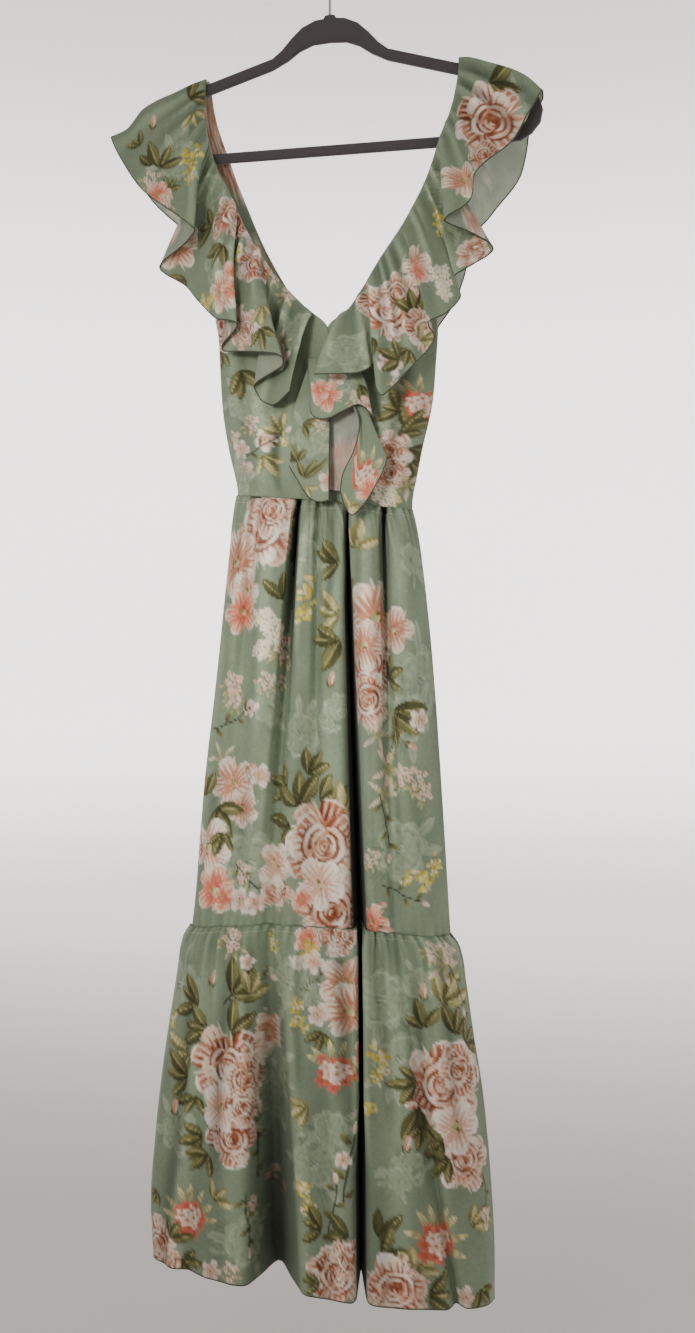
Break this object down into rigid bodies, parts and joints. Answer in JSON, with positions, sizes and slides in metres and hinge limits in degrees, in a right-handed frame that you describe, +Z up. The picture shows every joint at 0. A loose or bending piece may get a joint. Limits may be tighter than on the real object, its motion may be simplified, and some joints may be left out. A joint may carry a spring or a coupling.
{
  "type": "ruffled midi dress on a hanger",
  "caption": "Sleeveless V-neck dress with ruffled straps, a cascade at the V and a tiered skirt, hung on a flocked hanger.",
  "frame": {"origin": "inside of the top of the hanger's hook, where it rests on a rail", "axes": "+Z up along the hanging dress, +X along the hanger's bar to the wearer's left, -Y out of the dress's front"},
  "size_m": [0.4625, 0.1544, 1.4048],
  "materials": {
    "flock": "matte grey flock",
    "hook_wire": "polished wire",
    "chiffon": "printed chiffon",
    "ruffle_chiffon": "sheer printed chiffon, rolled hem"
  },
  "bodies": {
    "root": {"hanger_frame": "flock", "hanger_hook": "hook_wire", "bodice_front_left": "chiffon", "bodice_front_right": "chiffon", "bodice_back_left": "chiffon", "bodice_back_right": "chiffon", "skirt_upper_front": "chiffon", "skirt_upper_back": "chiffon", "skirt_lower_front": "chiffon", "skirt_lower_back": "chiffon", "ruffle_left": "ruffle_chiffon", "ruffle_right": "ruffle_chiffon", "ruffle_back_left": "ruffle_chiffon", "ruffle_back_right": "ruffle_chiffon", "flounce_centre": "ruffle_chiffon", "ruffle_cascade": "ruffle_chiffon"}
  },
  "joints": []
}
